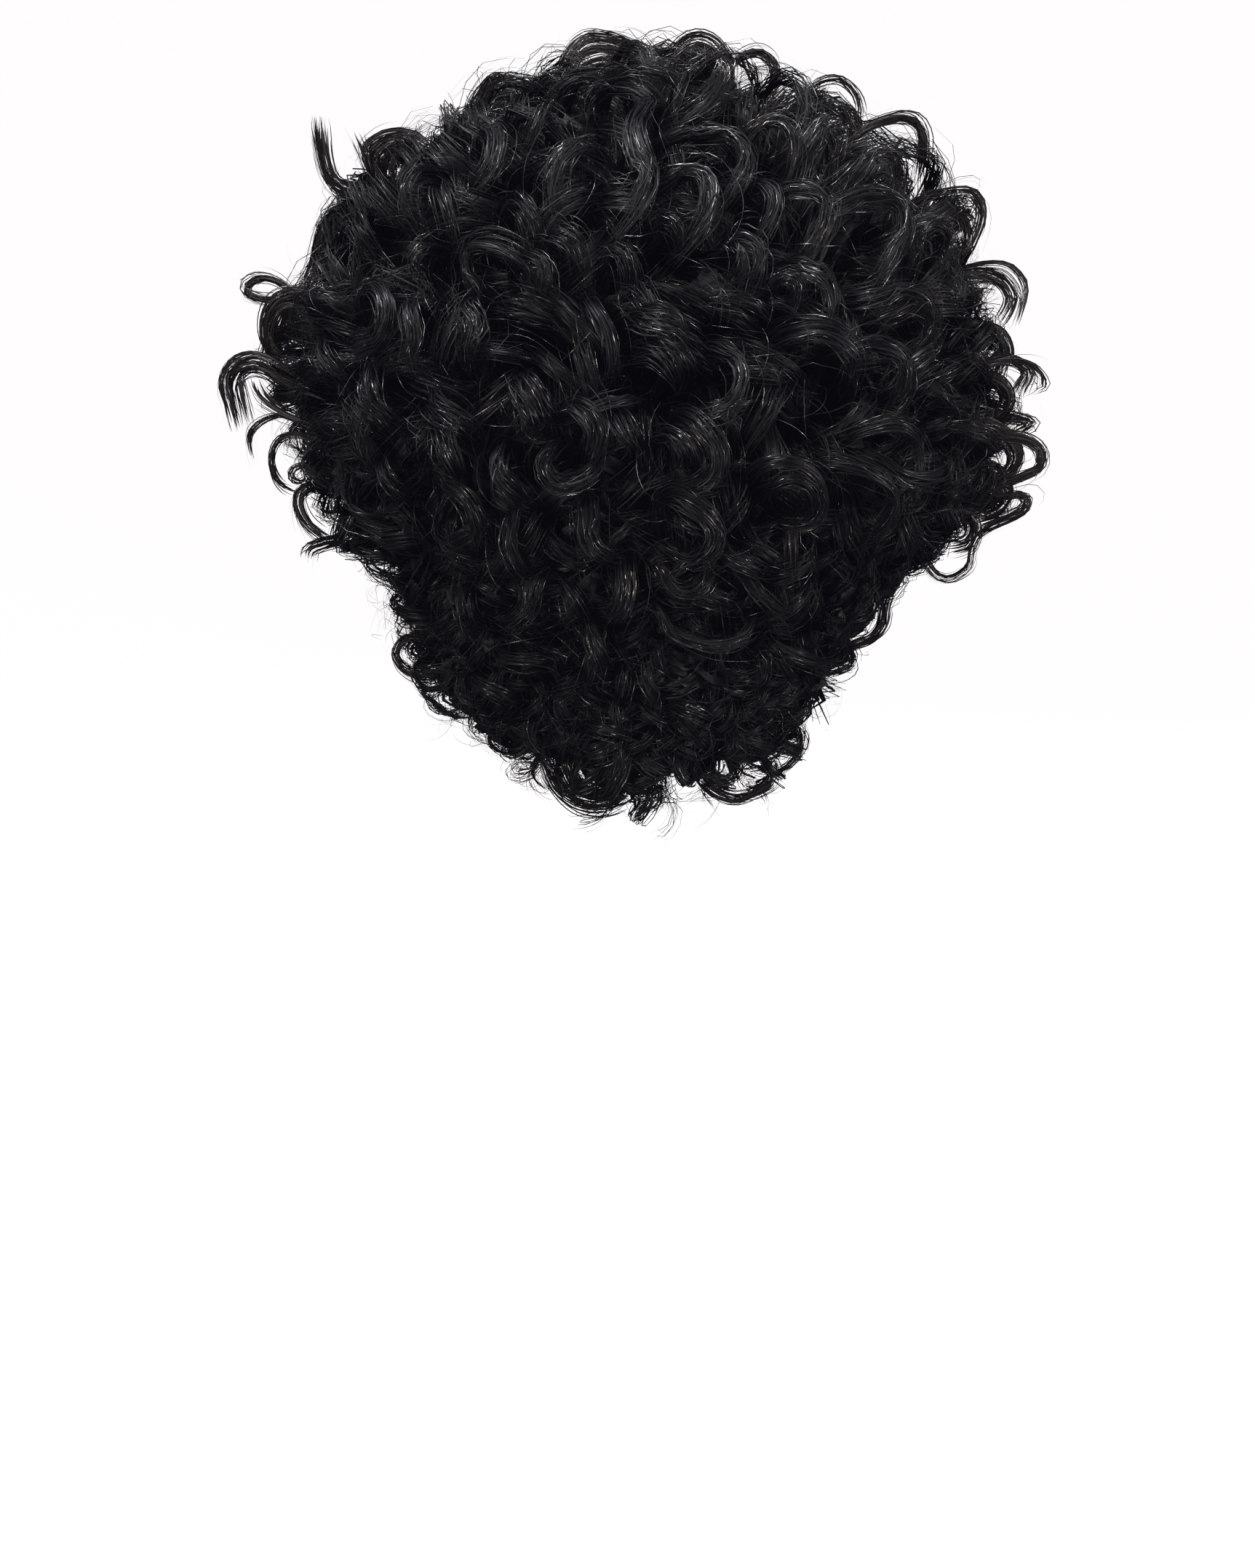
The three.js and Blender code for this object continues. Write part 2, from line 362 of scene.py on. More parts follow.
# a few strands side by side at the edge: how far back of the ears, seen width, and the places in the photo
def edgeLocks(rows, latitude, rng):
    def waved(turn):
        return np.sin(turn * run + rng.uniform(*tracedLook["phase"]))
    for depth, seen, pixels in rows:
        strands = max(1, round(seen / tracedLook["strandWide"]))
        line = np.array(pixels, float)
        run = np.linspace(0, 1, len(line))
        aside = unit(np.gradient(line, axis=0)[:, ::-1] * (-1, 1))
        for strand in range(strands):
            beside = ((strand + 0.5) / strands - 0.5) * seen / tracedLook["pixel"]
            beside = beside * (1 + tracedLook["splay"] * waved(tracedLook["splayTurn"]))
            loose = rng.normal(0, tracedLook["loose"] * seen, line.shape)
            seenLine = line + aside * beside[:, None] + loose * run[:, None]
            seenLine = seenLine[0] + (seenLine - seenLine[0]) * rng.uniform(*tracedLook["long"])
            sway = tracedLook["sway"] * (1 + waved(tracedLook["swayTurn"]))
            thick = seen / strands * rng.uniform(*tracedLook["edgeThick"]) * mm
            rooted = rootedLine(onUpright(seenLine, (depth + sway) * mm), latitude)
            out = np.cross((0.0, 1.0, 0.0), unit(np.gradient(rooted, axis=0)))
            yield rooted, out, tracedLook["edgeDeep"] / 2 * mm, thick


def traced(locks):
    middle, out, wide, thick = (np.array(part) for part in zip(*locks))
    along = unit(np.gradient(middle, axis=1))
    out = squareTo(along, out)
    coils = {"middle": middle, "out": out, "across": np.cross(along, out)}
    return coils, {"wide": wide, "thick": thick}


def sampled(curves, share):
    place = np.clip(share, 0, 1) * (fineSteps - 1)
    low = np.minimum(place.astype(int), fineSteps - 2)
    rest = (place - low)[..., None]
    row = np.arange(len(curves))[:, None, None]
    return curves[row, low] * (1 - rest) + curves[row, low + 1] * rest


hairClear = 2.4 * mm  # over the cap and its hem

# how a ribbon swings, gathers and thins along its lock, and how it is laid out
ribbonForm = {
    "shortest": 0.1, "swings": (0.8, 2.6), "crossing": 0.6, "strayMost": 1.6,
    "rootGather": 0.3, "gatherEnds": 0.35, "tipGather": 0.5,
    "rootHalf": 0.5, "rootEnds": 0.2, "tipHalf": 0.15,
    "rounded": 0.9, "streakStarts": 900,       # mm along the streaks
    "cellHalf": 0.4, "cellRun": (0.04, 0.96),  # share of a ribbon's cell in the bake layout
}


# flat ribbons that fill the section of each lock
def ribbonsIn(coils, locks, kind, rng):
    rows, count = len(coils["middle"]), kind["count"]

    def drawn(low, high, *extra):
        return rng.uniform(low, high, (rows, count, *extra, 1))
    run = np.linspace(0, 1, kind["steps"])
    start = drawn(*kind["start"])
    ragged = np.abs(rng.normal(0, kind["ragged"], (rows, count, 1)))
    end = np.maximum(1 - ragged, start + ribbonForm["shortest"])
    turned = start ** curlGrowth + (end ** curlGrowth - start ** curlGrowth) * run
    share = turned ** (1 / curlGrowth)  # the points are spaced evenly round the turns
    spread = (np.arange(count) + rng.uniform(0, 1, (rows, count))) / count * 2 - 1
    swing = drawn(0, 2 * math.pi, 3) + 2 * math.pi * drawn(*ribbonForm["swings"], 3) * share[:, :, None]
    crossing = rng.normal(0, kind["cross"], (rows, count, 1)) * (share - ribbonForm["crossing"])
    side = (spread * kind["spread"])[..., None] + kind["wander"] * np.sin(swing[:, :, 0]) + crossing
    deep = drawn(*kind["deep"]) + kind["wander"] * np.sin(swing[:, :, 1])
    narrow = ribbonForm["rootGather"]
    gather = narrow + (1 - narrow) * smoothStep(0, ribbonForm["gatherEnds"], share)
    gather = gather * (1 - (1 - ribbonForm["tipGather"]) * smoothStep(kind["full"], 1, share))
    wide = locks["wide"][:, None, None] * gather
    thick = locks["thick"][:, None, None] * gather
    out, across = sampled(coils["out"], share), sampled(coils["across"], share)
    middle = sampled(coils["middle"], share)
    middle = middle + across * (side * wide)[..., None] + out * (deep * thick)[..., None]
    most = ribbonForm["strayMost"]
    loose = np.clip(rng.normal(0, 1, (rows, count, 1, 3)), -most, most) * kind["stray"] * mm
    middle = clearOfHead(middle + loose * run[:, None] ** 2, hairClear)
    tilt = kind["turn"] + rng.normal(0, kind["tilt"], (rows, count, 1))
    tilt = tilt + kind["roll"] * np.sin(swing[:, :, 2])
    flat = np.cos(tilt)[..., None] * across + np.sin(tilt)[..., None] * out
    half = drawn(*kind["half"]) * mm
    thin = ribbonForm["rootHalf"]
    half = half * (thin + (1 - thin) * smoothStep(0, ribbonForm["rootEnds"], run))
    half = half * (1 - (1 - ribbonForm["tipHalf"]) * smoothStep(kind["taper"], 1, run))
    shape = (rows * count, kind["steps"])
    return {
        "middle": middle.reshape(*shape, 3),
        "flat": flat.reshape(*shape, 3),
        "half": half.reshape(shape),
        "shine": rng.uniform(*kind["shine"], rows * count),
        "warmth": rng.uniform(*kind["warmth"], rows * count),
    }


# one mesh from many ribbons, rounded across by its normals
def ribbonMesh(name, ribbonSets, rng):
    points, normals, corners, streaks, places = [], [], [], [], []
    marks = {"shine": [], "warmth": []}
    total = sum(len(ribbons["middle"]) for ribbons in ribbonSets)
    columns = math.ceil(math.sqrt(total))
    rowsOfCells = math.ceil(total / columns)
    firstPoint = firstRibbon = 0
    for ribbons in ribbonSets:
        middle, half = ribbons["middle"], ribbons["half"]
        count, steps = half.shape
        along = unit(np.gradient(middle, axis=1))
        flat = squareTo(along, ribbons["flat"])
        edge = np.array([-1.0, 1.0])[None, None, :, None]
        points.append((middle[:, :, None] + edge * (flat * half[..., None])[:, :, None]).reshape(-1, 3))
        face = np.cross(flat, along)
        rounded = face[:, :, None] + edge * ribbonForm["rounded"] * flat[:, :, None]
        normals.append(unit(rounded).reshape(-1, 3))
        index = firstPoint + np.arange(count * steps * 2).reshape(count, steps, 2)
        quads = np.stack([index[:, :-1, 0], index[:, :-1, 1], index[:, 1:, 1], index[:, 1:, 0]], axis=-1)
        corners.append(quads.reshape(-1, 4))
        start = rng.uniform(0, ribbonForm["streakStarts"], (count, 1, 1))
        streak = np.empty((count, steps, 2, 2))
        streak[..., 0] = start + half[..., None] / mm * edge[..., 0]
        streak[..., 1] = runAlong(middle)[..., None] / mm + start
        streaks.append(streak.reshape(-1, 2))
        cell = firstRibbon + np.arange(count)
        place = np.empty((count, steps, 2, 2))
        beside = 0.5 + ribbonForm["cellHalf"] * edge[..., 0]
        place[..., 0] = ((cell % columns)[:, None, None] + beside) / columns
        run = np.linspace(*ribbonForm["cellRun"], steps)[None, :, None]
        place[..., 1] = ((cell // columns)[:, None, None] + run) / rowsOfCells
        places.append(place.reshape(-1, 2))
        for mark in marks:
            marks[mark].append(np.repeat(ribbons[mark], steps * 2))
        firstPoint += count * steps * 2
        firstRibbon += count
    return meshFrom(name, *(np.concatenate(part) for part in (points, corners, normals)),
                    {"strand": np.concatenate(streaks), "OFBake": np.concatenate(places)},
                    {mark: np.concatenate(parts) for mark, parts in marks.items()})


def meshFrom(name, points, corners, normals, layouts, marks):
    mesh = bpy.data.meshes.new(name)
    mesh.vertices.add(len(points))
    mesh.vertices.foreach_set("co", points.astype(np.float32).ravel())
    mesh.loops.add(corners.size)
    mesh.loops.foreach_set("vertex_index", corners.astype(np.int32).ravel())
    mesh.polygons.add(len(corners))
    mesh.polygons.foreach_set("loop_start", np.arange(0, corners.size, 4, dtype=np.int32))
    mesh.update(calc_edges=True)
    for layoutName, layout in layouts.items():
        layer = mesh.uv_layers.new(name=layoutName, do_init=False)
        layer.data.foreach_set("uv", layout[corners.ravel()].astype(np.float32).ravel())
    for mark, values in marks.items():
        mesh.attributes.new(mark, "FLOAT", "POINT").data.foreach_set("value", values.astype(np.float32))
    mesh.shade_smooth()
    if normals is not None:
        mesh.normals_split_custom_set_from_vertices(normals.astype(np.float32))
    return mesh


# what every lock is filled with: how many ribbons, points along each, and how they lie in the lock
ribbonKinds = {
    "card": {
        "count": 7, "steps": 19, "start": (0, 0.02), "ragged": 0.06, "spread": 0.9, "deep": (-0.9, 0.2),
        "wander": 0.2, "cross": 0.4, "stray": 0.8, "turn": 0, "tilt": 0.4, "roll": 0.3,
        "half": (0.45, 0.85), "taper": 0.55, "full": 0.6, "shine": (0, 0.35), "warmth": (0, 0.15),
    },
    "strand": {
        "count": 20, "steps": 19, "start": (0.25, 0.45), "ragged": 0.1, "spread": 1.25,
        "deep": (-0.3, 1.4), "wander": 0.45, "cross": 1.3, "stray": 2.6, "turn": 0, "tilt": 0.7,
        "roll": 0.7, "half": (0.14, 0.28), "taper": 0.65, "full": 0.6, "shine": (0, 0.85),
        "warmth": (0, 0.15),
    },
    # strays lean further into the brown: partly their own tone, partly a painted backlit glow
    "stray": {
        "count": 4, "steps": 22, "start": (0.3, 0.5), "ragged": 0.15, "spread": 2.6, "deep": (-0.6, 3.2),
        "wander": 0.8, "cross": 1.6, "stray": 5, "turn": 0, "tilt": 1.0, "roll": 0.6,
        "half": (0.09, 0.13), "taper": 0.75, "full": 0.6, "shine": (0.4, 1), "warmth": (0, 0.5),
    },
    "filler": {
        "count": 8, "steps": 14, "start": (0, 0.02), "ragged": 0.08, "spread": 1.0, "deep": (-1.0, 1.0),
        "wander": 0.3, "cross": 0.3, "stray": 2, "turn": 0, "tilt": 0.9, "roll": 0.4, "half": (1.8, 2.8),
        "taper": 0.6, "full": 0.6, "shine": (0, 0.1), "warmth": (0, 0.1),
    },
}
faceKinds = [
    dict(ribbonKinds["card"], full=0.8),
    dict(ribbonKinds["strand"], count=38, steps=21, full=0.8, start=(0.3, 0.5), spread=1.1, stray=1.8,
         cross=1.0, shine=(0.1, 1.1)),
    dict(ribbonKinds["stray"], count=6, full=0.8),
]
# the edge strands run far into the brown: this is a painted backlit glow, as if light shone through thin
# hair at the outline
edgeKinds = [
    dict(ribbonKinds["card"], count=3, steps=25, turn=math.pi / 2, deep=(-0.9, 0.9), half=(0.3, 0.5),
         full=0.98, ragged=0.03, taper=0.92, stray=0.4, cross=0.3, warmth=(0.1, 0.4)),
    dict(ribbonKinds["strand"], count=13, steps=25, turn=math.pi / 2, deep=(-1.3, 1.3), stray=1.2,
         full=0.98, ragged=0.05, taper=0.92, cross=0.8, half=(0.12, 0.24), shine=(0, 1), warmth=(0.4, 1)),
    dict(ribbonKinds["stray"], count=3, steps=17, deep=(-1.6, 1.6), stray=2.6, full=0.85),
]


# how much the locks of a row differ
lockVariety = {
    "place": (0.15, 0.85), "root": 0.15,         # along a row, and up and down its tape
    "front": (0.3, 0.95), "rear": (0.3, 0.8),    # where the hair drops lower, or sinks in
    "outerInset": (-1, 9),                       # mm
    "kick": 5, "kickLimits": (-2, 6),            # mm
    "lift": 0.45, "tighten": (0.5, 1.15),
    "vary": {"hang": 0.3, "lift": 0.3, "pitch": 0.3, "coil": 0.35, "wide": 0.4, "thick": 0.3},
}


def drawLocks(look, count, inset, rng):
    def varied(part, middle):
        share = lockVariety["vary"][part]
        return middle * rng.uniform(1 - share, 1 + share, count)
    rows = look["bands"]
    band = np.arange(count) % rows
    place = np.arange(count) // rows + rng.uniform(*lockVariety["place"], count)
    azimuth = look.get("about", 0) + (place / math.ceil(count / rows) * 2 - 1) * look["span"]
    high, low = look["levels"]
    share = (band + rng.uniform(0, 1, count)) / rows
    level = (high + (low - high) * share) * mm
    rearward = np.cos(np.radians(azimuth))
    level = level - look.get("frontDrop", 0) * mm * smoothStep(*lockVariety["front"], -rearward)
    latHigh, latLow = look["latitude"]
    sunk = look["sunk"] * mm * smoothStep(*lockVariety["rear"], rearward) + look.get("deeper", 0) * mm
    rootShare = np.clip(share + rng.normal(0, lockVariety["root"], count), 0, 1)
    return {
        "azimuth": azimuth,
        "latitude": latHigh + (latLow - latHigh) * rootShare,
        "path": pathAtLevel(level),
        "hang": varied("hang", look["hang"]) * mm,
        "inset": (look["coil"] + rng.uniform(*inset, count)) * mm + sunk,
        "drift": rng.normal(0, look["lean"], count),
        "kick": np.clip(rng.normal(0, lockVariety["kick"], count), *lockVariety["kickLimits"]) * mm,
        "lift": varied("lift", lockVariety["lift"]),
        "pitch": varied("pitch", look["pitch"]) * mm,
        "coil": varied("coil", look["coil"]) * mm,
        "tighten": rng.uniform(*lockVariety["tighten"], count),
        "phase": rng.uniform(0, 2 * math.pi, count),
        "hand": rng.choice([-1.0, 1.0], count),
        "wide": varied("wide", look["wide"]) / 2 * mm,
        "thick": varied("thick", look["thick"]) / 2 * mm,
    }


def bothSides(group):
    return [dict(group, about=side * group["about"]) for side in (1, -1)]


# the hair rows from the crown down: where the roots sit, where the tips end, how tight the curls are
# latitude, span, about and lean are in degrees, the other sizes in mm
hairRows = {
    "crown_hair": {
        "node": "crown_patch", "latitude": (2, 18), "span": 180, "levels": (84, 58), "bands": 3,
        "locks": 38, "inner": 16, "under": (12, 28), "hang": 44, "sunk": 0, "coil": 12, "pitch": 54,
        "wide": 6, "thick": 4, "lean": 30, "raised": 0, "seed": 11,
    },
    "top_hair": {
        "node": "top_weft", "latitude": (28, 38), "span": 179, "levels": (66, 16), "bands": 2,
        "locks": 56, "inner": 22, "under": (14, 30), "hang": 54, "sunk": 3, "coil": 12.5, "pitch": 54,
        "wide": 6, "thick": 4, "lean": 20, "raised": 0, "seed": 12,
    },
    "fringe_hair": {
        "node": "fringe_weft", "latitude": (45, 54), "span": 179, "levels": (24, -26), "frontDrop": 34,
        "bands": 2, "locks": 66, "inner": 26, "under": (14, 30), "hang": 56, "sunk": 4, "coil": 12.5,
        "pitch": 54, "wide": 6, "thick": 4, "lean": 16, "raised": 6, "seed": 13,
        "more": [
            {"about": 180, "span": 52, "levels": (-34, -80), "frontDrop": 0, "locks": 22, "inner": 16},
            {"about": 180, "span": 62, "levels": (-58, -98), "frontDrop": 0, "locks": 17, "inner": 20,
             "deeper": 20, "coil": 8, "pitch": 36, "raised": 0},
        ],
    },
    "temple_hair": {
        "node": "temple_weft", "latitude": (62, 70), "span": 132, "levels": (-16, -68), "bands": 2,
        "locks": 58, "inner": 26, "under": (14, 30), "hang": 56, "sunk": 4, "coil": 12, "pitch": 51,
        "wide": 6, "thick": 4, "lean": 15, "raised": 6, "seed": 14,
        "more": bothSides({
            "about": 116, "span": 20, "levels": (-64, -116), "deeper": 6, "locks": 12, "inner": 8,
        }) + bothSides({
            "about": 118, "span": 30, "levels": (-100, -146), "deeper": 16, "locks": 10, "inner": 20,
            "coil": 7, "pitch": 34, "raised": 6,
        }),
    },
    "ear_hair": {
        "node": "ear_weft", "latitude": (78, 86), "span": 112, "levels": (-58, -112), "bands": 3,
        "locks": 57, "inner": 26, "under": (12, 26), "hang": 50, "sunk": 4, "coil": 9.5, "pitch": 42,
        "wide": 5, "thick": 3.6, "lean": 15, "raised": 8, "seed": 15,
        "more": bothSides({
            "about": 90, "span": 20, "levels": (-102, -136), "deeper": 14, "locks": 8, "inner": 8,
        }),
    },
    "back_hair": {
        "node": "back_weft", "latitude": (94, 102), "span": 72, "levels": (-98, -146), "bands": 3,
        "locks": 44, "inner": 26, "under": (8, 20), "hang": 42, "sunk": 3, "coil": 8, "pitch": 34,
        "wide": 5, "thick": 3.4, "lean": 14, "finer": 1.15, "raised": 8, "seed": 16,
    },
    "lower_hair": {
        "node": "lower_weft", "latitude": (108, 116), "span": 62, "levels": (-132, -184), "bands": 3,
        "locks": 50, "inner": 32, "under": (5, 16), "hang": 34, "sunk": 1, "coil": 6.5, "pitch": 26,
        "wide": 4, "thick": 3, "lean": 14, "finer": 1.3, "raised": 10, "seed": 17,
        "more": bothSides({
            "about": 60, "span": 9, "levels": (-150, -184), "deeper": 6, "locks": 5, "inner": 6,
        }),
    },
    "nape_hair": {
        "node": "nape_weft", "latitude": (122, 130), "span": 48, "levels": (-170, -208), "bands": 3,
        "locks": 44, "inner": 36, "under": (4, 14), "hang": 30, "sunk": 0, "coil": 5.5, "pitch": 22,
        "wide": 3.6, "thick": 3, "lean": 14, "finer": 1.45, "raised": 12, "seed": 18,
        "more": [
            {"about": 16, "span": 20, "levels": (-204, -222), "locks": 8, "inner": 7},
            {"about": -37, "span": 14, "levels": (-200, -216), "raised": 22, "locks": 6, "inner": 6},
        ],
    },
}


# main curls on the face of the hair: seen width in mm, and places in the photo
faceTraces = {
    "crown_hair": [
        (5.5, [(912, 104), (886, 140), (873, 185), (880, 220), (892, 250), (880, 285), (850, 315),
               (805, 340)]),
        (3, [(742, 130), (751, 160), (738, 187), (700, 204)]),
        (5, [(640, 178), (670, 180), (686, 210), (678, 245), (648, 260), (618, 248)]),
        (5, [(955, 80), (984, 92), (989, 122), (970, 152), (938, 165), (912, 160)]),
    ],
    "top_hair": [
        (7.5, [(832, 186), (796, 202), (770, 236), (757, 276), (766, 312)]),
        (4.5, [(676, 276), (716, 286), (738, 310), (735, 342)]),
        (4.5, [(900, 166), (960, 184), (1002, 200), (1021, 230), (1010, 260), (980, 282)]),
        (5.5, [(900, 230), (948, 236), (972, 262), (973, 298), (950, 332), (918, 350)]),
        (5, [(1035, 234), (1052, 262), (1058, 292), (1048, 322), (1024, 336)]),
        (7.5, [(592, 214), (576, 250), (566, 290), (578, 322)]),
        (5, [(594, 240), (612, 270), (622, 306), (612, 342)]),
        (5, [(1025, 170), (1055, 172), (1080, 190), (1093, 215), (1092, 246)]),
        (5.5, [(1105, 200), (1125, 183), (1150, 190), (1160, 222)]),
        (6, [(1160, 242), (1195, 223), (1228, 235), (1240, 266)]),
        (5.5, [(893, 306), (915, 303), (935, 320), (940, 347)]),
    ],
    "fringe_hair": [
        (6.5, [(734, 330), (766, 328), (793, 346), (803, 382)]),
        (5, [(648, 402), (642, 370), (656, 348), (692, 350), (732, 370), (755, 402)]),
        (7, [(1070, 250), (1100, 265), (1125, 290), (1128, 322), (1106, 348)]),
        (6, [(1150, 266), (1190, 270), (1226, 290), (1236, 322), (1222, 362), (1212, 398)]),
        (9, [(1000, 316), (1024, 345), (1030, 376), (1016, 412)]),
        (7.5, [(1085, 348), (1112, 375), (1132, 402), (1142, 432), (1132, 458)]),
        (5, [(1196, 396), (1236, 401), (1262, 421), (1276, 452), (1266, 484)]),
        (7.5, [(476, 288), (500, 318), (506, 348)]),
        (4, [(592, 328), (581, 356), (556, 382)]),
        (4, [(690, 350), (725, 355), (748, 372), (750, 390), (725, 399)]),
        (5.5, [(823, 350), (850, 350), (868, 370), (872, 397)]),
        (4.5, [(1055, 386), (1075, 385), (1092, 400), (1098, 432)]),
        (5, [(1245, 311), (1278, 315), (1300, 340), (1302, 382)]),
    ],
    "temple_hair": [
        (6.5, [(690, 414), (722, 426), (772, 432)]),
        (4, [(545, 398), (566, 430), (576, 468), (566, 500), (552, 524)]),
        (5, [(480, 424), (500, 399), (528, 405), (541, 435), (530, 466), (490, 478), (448, 476)]),
        (4, [(803, 398), (820, 430), (836, 466), (840, 502), (826, 534)]),
        (6.5, [(640, 398), (645, 430), (656, 456), (645, 482), (640, 514)]),
        (6.5, [(1088, 448), (1122, 456), (1152, 476), (1176, 504), (1186, 545)]),
        (8.5, [(866, 418), (900, 440), (930, 456), (948, 484)]),
        (8.5, [(868, 464), (905, 486), (928, 512), (938, 536)]),
        (4.5, [(988, 458), (1014, 496), (1017, 528), (1002, 555), (972, 570), (940, 562)]),
        (8.5, [(492, 496), (515, 530), (531, 562), (548, 594)]),
        (4.5, [(1228, 426), (1255, 425), (1275, 445), (1278, 477)]),
        (5, [(430, 475), (450, 485), (465, 510), (465, 542)]),
        (4.5, [(1160, 470), (1200, 475), (1230, 498), (1240, 535), (1228, 572)]),
        (6, [(1240, 546), (1250, 515), (1275, 498), (1307, 490)]),
    ],
    "ear_hair": [
        (9, [(570, 544), (610, 560), (641, 580), (652, 614)]),
        (7.5, [(596, 576), (620, 610), (631, 640), (614, 668)]),
        (4.5, [(672, 618), (690, 650), (710, 676), (722, 704)]),
        (8, [(700, 510), (726, 536), (746, 570), (746, 604)]),
        (5.5, [(766, 560), (800, 560), (822, 590), (816, 626), (788, 652)]),
        (5, [(843, 566), (868, 600), (886, 636)]),
        (5.5, [(936, 562), (966, 590), (982, 622), (978, 648), (952, 670), (918, 664)]),
        (3.4, [(1036, 672), (1044, 648), (1060, 636), (1080, 633), (1100, 640), (1117, 656),
               (1125, 680), (1122, 704), (1108, 722), (1086, 730), (1064, 724)]),
        (2.4, [(1056, 688), (1066, 668), (1084, 660), (1102, 670), (1110, 690), (1104, 708),
               (1088, 716)]),
        (4.5, [(1152, 638), (1194, 646), (1218, 670), (1215, 702), (1198, 732), (1166, 756)]),
        (4, [(1188, 596), (1224, 585), (1250, 604), (1262, 630)]),
        (4, [(1200, 630), (1240, 654), (1286, 650), (1316, 622)]),
        (5.5, [(480, 550), (502, 552), (520, 575), (525, 612)]),
        (4, [(515, 635), (535, 645), (552, 670), (555, 702)]),
        (4.5, [(760, 610), (750, 640), (775, 662), (815, 650), (825, 618)]),
        (5, [(905, 600), (930, 605), (945, 630), (935, 657)]),
    ],
    "back_hair": [
        (4, [(576, 668), (620, 670), (650, 686), (662, 716), (650, 746), (622, 768)]),
        (5.5, [(688, 718), (705, 745), (721, 776), (726, 806)]),
        (7.5, [(798, 700), (811, 735), (831, 760), (858, 778)]),
        (5.5, [(914, 690), (956, 695), (979, 722), (970, 751), (944, 770), (902, 760)]),
        (3.5, [(1016, 788), (1045, 815), (1068, 832), (1077, 800)]),
        (3.5, [(896, 778), (930, 806), (962, 800), (984, 778)]),
        (4, [(765, 820), (785, 815), (795, 835), (785, 862)]),
        (3.5, [(630, 815), (648, 825), (655, 850), (645, 877)]),
        (4.5, [(985, 768), (1010, 765), (1035, 780), (1040, 807)]),
    ],
    "lower_hair": [
        (5.5, [(728, 796), (726, 830), (706, 850), (676, 862)]),
        (4.5, [(856, 776), (858, 810), (845, 842), (822, 864)]),
        (2.2, [(890, 842), (924, 868), (972, 880), (1022, 872), (1054, 842)]),
        (3.5, [(635, 945), (665, 935), (695, 948), (710, 982)]),
        (3.5, [(800, 865), (818, 880), (828, 905), (820, 932)]),
        (3.5, [(665, 905), (700, 898), (735, 902), (763, 919)]),
        (4, [(1060, 905), (1095, 900), (1130, 912), (1145, 937)]),
        (3.5, [(925, 985), (945, 972), (965, 980), (968, 1007)]),
    ],
    "nape_hair": [
        (3.5, [(800, 1012), (820, 995), (845, 1000), (855, 1022)]),
        (3.5, [(925, 1050), (940, 1068), (967, 1073)]),
        (4, [(866, 1045), (850, 1065), (835, 1085), (813, 1090)]),
    ],
}

